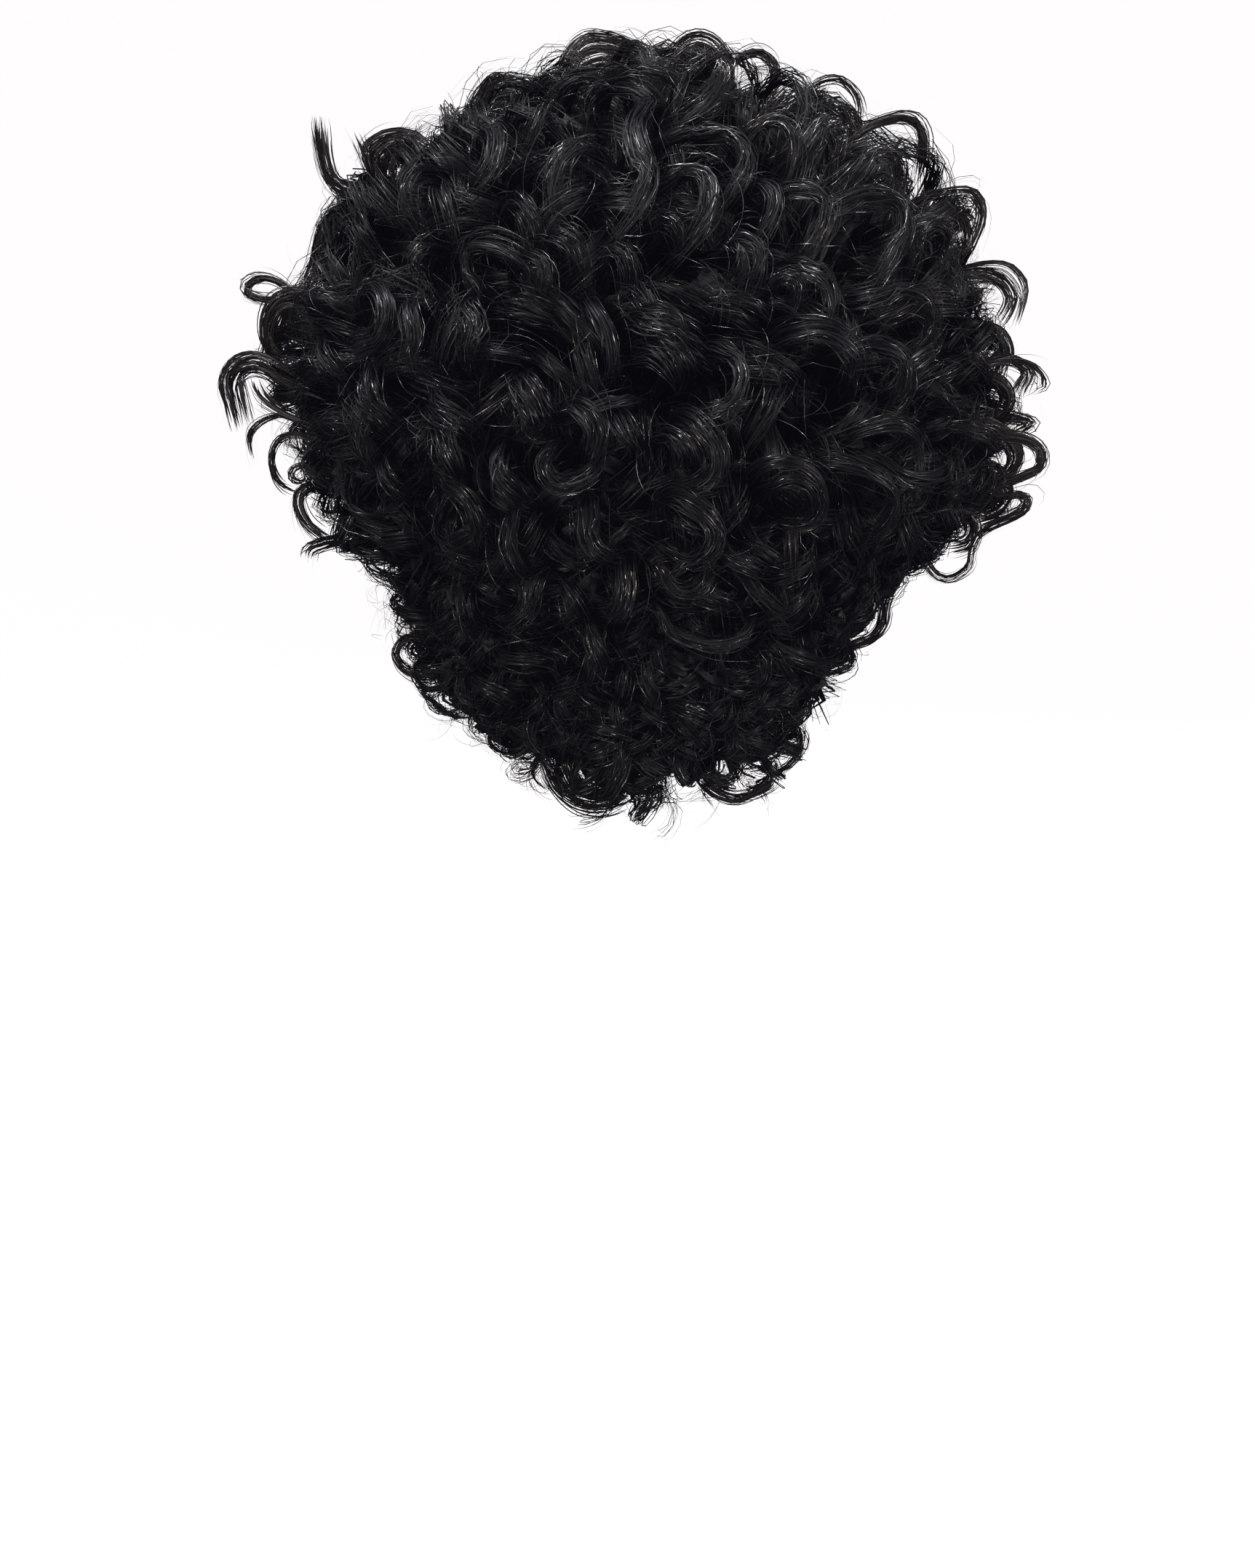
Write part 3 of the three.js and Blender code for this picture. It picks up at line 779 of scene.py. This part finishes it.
# curls at its edge: mm back of the ears, seen width in mm, and places in the photo
edgeTraces = {
    "crown_hair": [
        (25, 6, [(770, 125), (785, 78), (806, 58), (832, 56), (862, 64), (888, 80), (910, 104)]),
        (25, 5, [(905, 100), (924, 76), (944, 57), (966, 53), (986, 66), (1000, 92), (994, 128),
                 (965, 152)]),
        (10, 3, [(1000, 95), (1018, 76), (1042, 72), (1062, 88), (1064, 112), (1048, 150)]),
        (5, 9, [(772, 140), (796, 96), (836, 80), (878, 94), (906, 126)]),
        (5, 9, [(912, 132), (934, 92), (962, 78), (984, 100), (986, 140)]),
    ],
    "top_hair": [
        (25, 4.5, [(645, 165), (660, 126), (680, 106), (702, 109), (724, 128)]),
        (32, 8, [(652, 182), (668, 146), (690, 128), (712, 138), (724, 166)]),
        (30, 2.6, [(1105, 130), (1120, 112), (1150, 107), (1172, 122), (1182, 146), (1180, 180)]),
        (40, 6, [(525, 264), (490, 264), (466, 256), (452, 238), (445, 212), (441, 188), (440, 160)]),
        (40, 4, [(524, 258), (508, 230), (500, 206), (491, 184)]),
        (40, 6, [(535, 262), (530, 228), (546, 206), (572, 206), (590, 230)]),
        (40, 8, [(505, 228), (524, 198), (548, 188), (575, 194), (592, 212)]),
        (40, 4.6, [(1178, 182), (1210, 167), (1240, 161), (1262, 169), (1271, 190), (1269, 216),
                   (1262, 252)]),
    ],
    "fringe_hair": [
        (45, 3.3, [(1258, 274), (1290, 268), (1320, 262), (1341, 267), (1351, 285), (1348, 312),
                   (1325, 360)]),
        (45, 5, [(1256, 300), (1300, 292), (1328, 306), (1332, 345)]),
        (45, 1.8, [(1325, 368), (1360, 361), (1386, 365), (1404, 381), (1411, 402), (1397, 455)]),
        (45, 4.5, [(1318, 376), (1350, 373), (1378, 386), (1391, 408), (1385, 430), (1368, 455)]),
        (45, 3, [(425, 430), (404, 404), (384, 387), (360, 381), (341, 388), (338, 402), (358, 412),
                 (398, 416)]),
        (45, 6, [(475, 290), (447, 306), (438, 330), (432, 365), (425, 395)]),
        (35, 7, [(500, 296), (466, 308), (454, 336), (449, 368), (440, 402)]),
        (40, 5, [(445, 400), (414, 398), (397, 415), (392, 442), (402, 460)]),
    ],
    "temple_hair": [
        (45, 8.5, [(400, 530), (374, 510), (352, 502), (334, 504), (321, 515), (317, 533), (322, 558),
                   (330, 592)]),
        (45, 4.5, [(1340, 505), (1378, 493), (1402, 500), (1412, 514), (1404, 532), (1394, 552)]),
        (66, 1.5, [(1380, 494), (1416, 500), (1434, 522), (1432, 534), (1412, 542)]),
        (45, 4, [(1372, 572), (1402, 575), (1416, 580), (1390, 597)]),
        (30, 9, [(446, 422), (406, 424), (389, 442), (384, 468), (394, 494)]),
        (45, 7, [(455, 430), (408, 410), (380, 418), (367, 446), (370, 478), (392, 500)]),
        (35, 7, [(465, 470), (410, 454), (380, 462), (368, 488), (380, 512)]),
        (45, 6, [(1315, 452), (1352, 449), (1375, 462), (1381, 486), (1366, 508)]),
        (50, 6, [(1318, 522), (1352, 516), (1378, 529), (1385, 553), (1370, 574), (1340, 578)]),
    ],
    "ear_hair": [
        (68, 4.5, [(1340, 600), (1400, 603), (1424, 613), (1433, 628), (1428, 645), (1404, 656),
                   (1350, 680)]),
        (55, 3, [(1320, 684), (1370, 684), (1400, 680), (1411, 687), (1404, 702), (1360, 722),
                 (1335, 730)]),
        (55, 2.8, [(1258, 745), (1272, 772), (1286, 791), (1306, 796), (1332, 780), (1338, 758),
                   (1347, 738), (1386, 712)]),
        (45, 0.6, [(398, 572), (370, 573), (346, 590), (341, 612), (347, 636)]),
        (45, 2.4, [(420, 598), (392, 600), (379, 614), (375, 634), (380, 655), (394, 671), (414, 677)]),
        (45, 1.6, [(432, 642), (415, 638), (402, 648), (404, 660), (416, 662), (422, 652)]),
        (45, 4, [(432, 664), (413, 674), (410, 692), (420, 715), (437, 733), (456, 745)]),
        (45, 5, [(498, 716), (466, 740), (442, 748), (425, 757), (420, 770)]),
        (52, 7, [(1315, 590), (1355, 589), (1386, 604), (1397, 630), (1380, 655), (1345, 662)]),
        (52, 6, [(1305, 640), (1345, 640), (1372, 655), (1379, 683), (1360, 702), (1325, 702)]),
        (55, 6, [(1285, 690), (1320, 699), (1339, 720), (1331, 746), (1302, 754)]),
        (60, 5, [(1262, 700), (1288, 718), (1291, 750), (1268, 772)]),
        (45, 4, [(440, 590), (400, 573), (376, 558), (360, 540), (352, 518)]),
    ],
    "lower_hair": [
        (55, 3, [(565, 872), (545, 894), (552, 916), (576, 930), (602, 934)]),
        (60, 2.2, [(620, 944), (581, 950), (596, 966), (620, 985), (645, 988)]),
        (55, 3, [(1160, 893), (1195, 879), (1211, 860), (1215, 836), (1222, 818)]),
    ],
    "nape_hair": [
        (65, 2.4, [(698, 998), (673, 1012), (681, 1030), (706, 1037), (730, 1032)]),
        (80, 5, [(748, 1040), (756, 1072), (774, 1096), (802, 1110), (836, 1110), (866, 1096)]),
        (86, 7, [(772, 1046), (784, 1076), (808, 1094), (838, 1094), (862, 1080)]),
        (80, 4, [(960, 1068), (985, 1090), (1010, 1098), (1035, 1092), (1058, 1080), (1064, 1068)]),
        (65, 2.6, [(1055, 1066), (1080, 1055), (1096, 1038), (1103, 1014), (1094, 996)]),
    ],
}


# single hairs lying over the curls, each a short arc with a heading of its own
looseHair = {
    "count": 150, "steps": 9,
    "long": (10, 28), "bend": (9, 32), "proud": (-4, 4), "dive": 4, "half": (0.06, 0.1),  # mm
    "thinning": 0.7, "thinLate": 4, "shine": (0.5, 1), "warmth": (0, 0.25),
}


def looseHairs(look, rng):
    count, steps = looseHair["count"], looseHair["steps"]

    def drawn(low, high):
        return rng.uniform(low, high, (count, 1))
    azimuth = drawn(-look["span"], look["span"])[:, 0]
    path = pathAtLevel(drawn(*sorted(look["levels"]))[:, 0] * mm)
    out = offForm(azimuth, path)
    level = unit(np.cross(out, (0, 0, 1)))
    heading = drawn(0, 2 * math.pi)
    along = np.cos(heading) * level + np.sin(heading) * np.cross(out, level)
    run = np.linspace(-1, 1, steps)
    bend = drawn(*looseHair["bend"]) * mm
    turn = run * drawn(*looseHair["long"]) * mm / 2 / bend
    lift = (drawn(*looseHair["proud"]) - looseHair["dive"] * run ** 2) * mm
    middle = onForm(azimuth, path)[:, None] + out[:, None] * lift[..., None]
    middle = middle + along[:, None] * (bend * np.sin(turn))[..., None]
    middle = middle + np.cross(out, along)[:, None] * (bend * (1 - np.cos(turn)))[..., None]
    flat = np.broadcast_to(np.cross(out, along)[:, None], middle.shape)
    thinner = looseHair["thinning"] * run ** looseHair["thinLate"]
    return {
        "middle": middle, "flat": flat, "half": drawn(*looseHair["half"]) * mm * (1 - thinner),
        "shine": rng.uniform(*looseHair["shine"], count),
        "warmth": rng.uniform(*looseHair["warmth"], count),
    }


def linked(mesh, material):
    mesh.materials.append(material)
    made = bpy.data.objects.new(mesh.name, mesh)
    scene.collection.objects.link(made)
    return made


def hairRow(name, look, material):
    rng = np.random.default_rng(look["seed"])
    finer = look.get("finer", 1)
    kinds = {
        kind: dict(filling, count=round(filling["count"] / finer), steps=round(filling["steps"] * finer))
        for kind, filling in ribbonKinds.items()
    }
    ribbonSets = [looseHairs(look, rng)]
    for part in [look] + [dict(look, **extra) for extra in look.get("more", [])]:
        outer = drawLocks(part, part["locks"], lockVariety["outerInset"], rng)
        high, low = part["levels"]
        shorter = dict(part, levels=(high, low + part["raised"]))
        inner = drawLocks(shorter, part["inner"], part["under"], rng)
        coils, innerCoils = coiled(outer), coiled(inner)
        ribbonSets += [ribbonsIn(coils, outer, kinds[kind], rng) for kind in ("card", "strand", "stray")]
        ribbonSets.append(ribbonsIn(innerCoils, inner, kinds["filler"], rng))
    latitude = np.mean(look["latitude"])
    coils, sizes = traced(faceLocks(faceTraces[name], latitude))
    ribbonSets += [ribbonsIn(coils, sizes, kind, rng) for kind in faceKinds]
    if name in edgeTraces:
        coils, sizes = traced(edgeLocks(edgeTraces[name], latitude, rng))
        ribbonSets += [ribbonsIn(coils, sizes, kind, rng) for kind in edgeKinds]
    piece = linked(ribbonMesh(name, ribbonSets, rng), material)
    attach(piece, "root")
    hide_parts(look["node"])
    print(name, len(piece.data.polygons) * 2, "triangles")


# gives sockets a value, or a link from another node's output
def setSockets(tree, node, sockets):
    for socket, value in sockets.items():
        if isinstance(value, bpy.types.NodeSocket):
            tree.links.new(value, node.inputs[socket])
        else:
            node.inputs[socket].default_value = value


def addNode(tree, kind, sockets, **settings):
    node = tree.nodes.new(kind)
    for setting, value in settings.items():
        setattr(node, setting, value)
    setSockets(tree, node, sockets)
    return node


def newMaterial(name):
    material = bpy.data.materials.new(name)
    material.use_nodes = True
    return material, material.node_tree, material.node_tree.nodes["Principled BSDF"]


# black hair: fine streaks along each ribbon break its gloss into strands
hairFinish = {
    # brown is mixed in by each ribbon's share: a little random tone on most strands, and a painted backlit
    # glow on the edge strands and strays
    "dark": (0.0058, 0.0059, 0.0087, 1), "brown": (0.034, 0.025, 0.021, 1),
    "streaks": {"scale": (3.0, 0.05, 1), "detail": 3, "from": (0.4, 0.62), "least": 0.06},
    "glints": {"scale": (2.0, 0.28, 1), "detail": 2, "from": (0.46, 0.63), "least": 0.06},
    "gloss": {"from": (0.45, 1.0), "least": 0.04},
    "rough": (0.6, 0.36),        # where it is dull, and where it glints
    "bump": 0.5, "raised": 0.3,  # strength, and mm
    "shader": {"Anisotropic": 0.85, "IOR": 1.33, "Coat Roughness": 0.18, "Coat IOR": 3.1},
}


def hairMaterial():
    material, tree, shader = newMaterial("black_hair")
    strand = addNode(tree, "ShaderNodeUVMap", {}, uv_map="strand").outputs["UV"]
    shine = addNode(tree, "ShaderNodeAttribute", {}, attribute_name="shine").outputs["Fac"]
    warmth = addNode(tree, "ShaderNodeAttribute", {}, attribute_name="warmth").outputs["Fac"]

    def noise(look):
        stretch = addNode(tree, "ShaderNodeMapping", {"Vector": strand, "Scale": look["scale"]})
        sockets = {"Vector": stretch.outputs["Vector"], "Scale": 1, "Detail": look["detail"]}
        return addNode(tree, "ShaderNodeTexNoise", sockets, noise_dimensions="2D").outputs["Fac"]

    def picked(value, look):
        low, high = look["from"]
        sockets = {"Value": value, "From Min": low, "From Max": high, "To Min": look["least"]}
        return addNode(tree, "ShaderNodeMapRange", sockets).outputs["Result"]

    def times(first, second):
        return addNode(tree, "ShaderNodeMath", {0: first, 1: second}, operation="MULTIPLY").outputs["Value"]
    streaks, glints = noise(hairFinish["streaks"]), noise(hairFinish["glints"])
    lit = times(picked(shine, hairFinish["gloss"]), picked(streaks, hairFinish["streaks"]))
    coat = times(lit, picked(glints, hairFinish["glints"]))
    dull, bright = hairFinish["rough"]
    rough = addNode(tree, "ShaderNodeMapRange", {"Value": coat, "To Min": dull, "To Max": bright})
    bump = addNode(tree, "ShaderNodeBump", {
        "Height": streaks, "Strength": hairFinish["bump"], "Distance": hairFinish["raised"] * mm,
    })
    # the colour leans brown by each ribbon's share: its own random tone, and on edge strands and strays a
    # painted backlit glow
    colour = addNode(tree, "ShaderNodeMix", {
        "Factor": warmth, "A": hairFinish["dark"], "B": hairFinish["brown"],
    }, data_type="RGBA")
    tangent = addNode(tree, "ShaderNodeTangent", {}, direction_type="UV_MAP", uv_map="strand")
    setSockets(tree, shader, {
        "Base Color": colour.outputs["Result"], "Roughness": rough.outputs["Result"], "Coat Weight": coat,
        "Normal": bump.outputs["Normal"], "Tangent": tangent.outputs["Tangent"], **hairFinish["shader"],
    })
    return material


# plain weave over a cloth laid out in millimetres
weaveLook = {"distortion": 0.6, "patch": 0.12, "detail": 4}


def weaveGroup():
    group = bpy.data.node_groups.new("clothWeave", "ShaderNodeTree")
    for name, way, kind in (
        ("Cloth", "INPUT", "Vector"), ("Threads", "INPUT", "Float"),
        ("Height", "OUTPUT", "Float"), ("Wear", "OUTPUT", "Float"),
    ):
        group.interface.new_socket(name, in_out=way, socket_type="NodeSocket" + kind)
    entry = addNode(group, "NodeGroupInput", {}).outputs
    scaled = addNode(group, "ShaderNodeVectorMath", {
        0: entry["Cloth"], "Scale": entry["Threads"],
    }, operation="SCALE").outputs["Vector"]
    waves = [
        addNode(group, "ShaderNodeTexWave", {
            "Vector": scaled, "Scale": 1, "Distortion": weaveLook["distortion"],
        }, bands_direction=direction).outputs["Fac"]
        for direction in ("X", "Y")
    ]
    crossed = addNode(group, "ShaderNodeMath", {0: waves[0], 1: waves[1]}, operation="MAXIMUM")
    patchy = addNode(group, "ShaderNodeTexNoise", {
        "Vector": entry["Cloth"], "Scale": weaveLook["patch"], "Detail": weaveLook["detail"],
    })
    addNode(group, "NodeGroupOutput", {"Height": crossed.outputs["Value"], "Wear": patchy.outputs["Fac"]})
    return group


clothFinishes = {
    "black_net": {
        "threads": 0.55, "raised": 0.5,  # scale of the weave, and mm
        "dark": (0.004, 0.004, 0.005, 1), "pale": (0.022, 0.021, 0.024, 1),
    },
    "black_tape": {
        "threads": 1.1, "raised": 0.3,
        "dark": (0.006, 0.006, 0.007, 1), "pale": (0.03, 0.028, 0.029, 1),
    },
    "rough": (0.7, 0.95), "sheen": 0.15,
}


def clothMaterial(name, weave):
    finish = clothFinishes[name]
    material, tree, shader = newMaterial(name)
    cloth = addNode(tree, "ShaderNodeUVMap", {}, uv_map="cloth").outputs["UV"]
    woven = addNode(tree, "ShaderNodeGroup", {
        "Cloth": cloth, "Threads": finish["threads"],
    }, node_tree=weave)
    height, wear = woven.outputs["Height"], woven.outputs["Wear"]
    colour = addNode(tree, "ShaderNodeMix", {
        "Factor": height, "A": finish["dark"], "B": finish["pale"],
    }, data_type="RGBA")
    low, high = clothFinishes["rough"]
    rough = addNode(tree, "ShaderNodeMapRange", {"Value": wear, "To Min": low, "To Max": high})
    bump = addNode(tree, "ShaderNodeBump", {"Height": height, "Distance": finish["raised"] * mm})
    setSockets(tree, shader, {
        "Base Color": colour.outputs["Result"], "Roughness": rough.outputs["Result"],
        "Normal": bump.outputs["Normal"], "Sheen Weight": clothFinishes["sheen"],
    })
    return material


# the cap: its edge dips at the nape, rises over the ear, and crosses the forehead
netCap = {
    "edge": [  # azimuth, and level in mm
        (0, -196), (42, -190), (64, -148), (82, -118), (104, -126), (118, -120), (138, -80), (180, -50),
    ],
    "hem": 6, "hemLift": 0.6, "hemEase": 0.75,  # mm, and the share of the hem that is flat
    "top": 0.3,                                 # degrees left open at the very top
    "sides": 120, "rings": 32,
}


def edgeLatitude(azimuth):
    turn = np.abs((azimuth + 180) % 360 - 180)
    stations = np.array(netCap["edge"], float)
    mirrored = np.concatenate([stations[1:2] * (-1, 1), stations, (360, 0) + stations[-2:-1] * (-1, 1)])
    stops, levels = smoothLine(mirrored).T
    return latitudeAt(np.interp(turn, stops, levels) * mm)


# a wall over part of the head, between two latitudes and two azimuths, closed at its edges
def headWall(name, material, azimuth, top, bottom, inner, outer):
    down = np.linspace(0, 1, outer.shape[1])
    latitude = top[:, None] + (bottom - top)[:, None] * down
    around = np.broadcast_to(azimuth[:, None], latitude.shape)
    skins = [onHead(around, latitude, inner), onHead(around, latitude, outer)]
    columns, rings = latitude.shape
    index = np.arange(columns * rings).reshape(columns, rings)
    quads = np.stack([index[:-1, :-1], index[1:, :-1], index[1:, 1:], index[:-1, 1:]], axis=-1)
    quads = quads.reshape(-1, 4)
    shift = columns * rings
    rim = np.concatenate([index[:, -1], index[-1, ::-1][1:], index[::-1, 0][1:], index[0, :][1:]])
    band = np.stack([rim[:-1], rim[1:], rim[1:] + shift, rim[:-1] + shift], axis=-1)
    corners = np.concatenate([quads[:, ::-1], quads + shift, band])
    points = np.concatenate([skin.reshape(-1, 3) for skin in skins])
    girth = np.radians(around) * halfLength * np.sin(np.radians(latitude)) / mm
    drop = np.radians(latitude) * head["crown"] / mm
    cloth = np.tile(np.stack([girth, drop], axis=-1).reshape(-1, 2), (2, 1))
    flat = np.meshgrid(np.linspace(0, 1, columns), np.linspace(0, 1, rings), indexing="ij")
    flat = np.stack(flat, axis=-1).reshape(-1, 2)
    bakeSize, margin = (0.48, 0.98), 0.01  # each skin has half of the bake layout
    bake = np.concatenate([flat * bakeSize + margin, flat * bakeSize + (0.5 + margin, margin)])
    mesh = meshFrom(name, points, corners, None, {"cloth": cloth, "OFBake": bake}, {})
    piece = linked(mesh, material)
    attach(piece, "root")
    return piece


def cap(material):
    azimuth = np.linspace(-180, 180, netCap["sides"] + 1)
    bottom = edgeLatitude(azimuth)
    down = np.linspace(0, 1, netCap["rings"])
    fromEdge = np.radians(bottom)[:, None] * (1 - down) * head["crown"]
    hem = 1 - smoothStep(netCap["hemEase"], 1, fromEdge / (netCap["hem"] * mm))
    outer = head["wall"] + netCap["hemLift"] * mm * hem
    top = np.full_like(azimuth, netCap["top"])
    piece = headWall("net_cap", material, azimuth, top, bottom, 0.0, outer)
    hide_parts("cap")
    print("net cap", len(piece.data.polygons) * 2, "triangles")


# the tapes that the hair is sewn to, one for each row and a round patch at the crown
weftTape = {
    "halfHeight": 3.5, "seat": 2.7, "wall": 2.0,  # degrees of latitude, then mm off the head and mm thick
    "thinned": 0.6, "thinLate": 8,                # share, and a power: thinner along its two edges
    "sides": 56, "rings": 5,
}


def tapes(material):
    for name, look in hairRows.items():
        middle = np.mean(look["latitude"])
        top, bottom = middle - weftTape["halfHeight"], middle + weftTape["halfHeight"]
        if name == "crown_hair":
            top, bottom = netCap["top"], look["latitude"][1]
        azimuth = np.linspace(-look["span"], look["span"], weftTape["sides"] + 1)
        rings = np.linspace(-1, 1, weftTape["rings"])
        wall = weftTape["wall"] * (1 - weftTape["thinned"] * rings ** weftTape["thinLate"])
        outer = (weftTape["seat"] + wall) * mm
        outer = np.broadcast_to(outer, (len(azimuth), len(rings)))
        piece = headWall(
            name.replace("hair", "tape"), material, azimuth, np.full_like(azimuth, top),
            np.full_like(azimuth, bottom), weftTape["seat"] * mm, outer,
        )
    print("weft tapes", len(hairRows))


# a pale floor that curves up into a backdrop all round
stageLook = {
    "floor": -0.49, "radius": 3.0, "curve": 1.2, "wall": 9.0, "middle": 0.02,  # m
    "sides": 96, "bends": 10,
    "colour": (0.04, 0.04, 0.04, 1), "roughness": 0.9,
    "glow": (0.985, 0.97, 0.98, 1), "strength": 1,  # evenly lit, as good as white
}


def stage():
    sides, bends = stageLook["sides"], stageLook["bends"]
    profile = [(stageLook["middle"], 0.0), (stageLook["radius"] / 2, 0.0)]
    for step in range(bends + 1):
        turn = step / bends * math.pi / 2
        profile.append((
            stageLook["radius"] + stageLook["curve"] * (math.sin(turn) - 1),
            stageLook["curve"] * (1 - math.cos(turn)),
        ))
    profile.append((stageLook["radius"], stageLook["wall"]))
    points, faces = [], []
    for ring, (radius, height) in enumerate(profile):
        for side in range(sides):
            turn = side / sides * 2 * math.pi
            points.append((radius * math.cos(turn), radius * math.sin(turn), stageLook["floor"] + height))
            if ring > 0:
                below, here, after = (ring - 1) * sides, ring * sides, (side + 1) % sides
                faces.append((below + side, below + after, here + after, here + side))
    faces.append(tuple(reversed(range(sides))))
    mesh = bpy.data.meshes.new("studio_sweep")
    mesh.from_pydata(points, [], faces)
    mesh.shade_smooth()
    material, tree, shader = newMaterial("pale_sweep")
    setSockets(tree, shader, {
        "Base Color": stageLook["colour"], "Roughness": stageLook["roughness"],
        "Emission Color": stageLook["glow"], "Emission Strength": stageLook["strength"],
    })
    sweep = linked(mesh, material)
    sweep.visible_glossy = False
    sweep.visible_diffuse = False


studioLights = {
    # name: place, size, power, colour
    "overhead_softbox": ((0.35, 0.3, 1.3), 0.6, 22, (0.95, 0.97, 1.0)),
    "key_softbox": ((0.8, 1.2, 0.6), 0.4, 11, (1.0, 0.95, 0.84)),
    "side_softbox": ((-1.0, 0.8, 0.2), 0.5, 10, (1.0, 0.96, 0.9)),
    "rear_softbox": ((-0.5, -1.4, 0.7), 0.8, 26, (1.0, 0.97, 0.93)),
    "floor_bounce": ((0.3, 0.9, -0.7), 0.6, 2.4, (1.0, 0.97, 0.95)),
}
studioLook = {"aim": (0, 0, -0.06), "world": 0.1}
blackLift = (0.0023, 0.0023, 0.0036)  # red, green, blue


def lights():
    for name, (place, size, power, colour) in studioLights.items():
        light = bpy.data.lights.new(name, "AREA")
        light.size = size
        light.energy = power
        light.color = colour
        lamp = bpy.data.objects.new(name, light)
        lamp.location = place
        aim = Vector(studioLook["aim"]) - lamp.location
        lamp.rotation_euler = aim.to_track_quat("-Z", "Y").to_euler()
        scene.collection.objects.link(lamp)
    world = bpy.data.worlds.new("studio")
    world.use_nodes = True
    background = world.node_tree.nodes["Background"]
    setSockets(world.node_tree, background, {"Color": (1, 1, 1, 1), "Strength": studioLook["world"]})
    scene.world = world
    look = scene.view_settings
    look.view_transform = "Standard"
    look.use_curve_mapping = True
    for curve, lift in zip(look.curve_mapping.curves, blackLift):  # a print's black is never quite black
        curve.points[0].location = (0, lift)
    look.curve_mapping.update()


camera()
lights()
stage()
weave = weaveGroup()
cap(clothMaterial("black_net", weave))
tapes(clothMaterial("black_tape", weave))
hair = hairMaterial()
for rowName, rowLook in hairRows.items():
    hairRow(rowName, rowLook, hair)
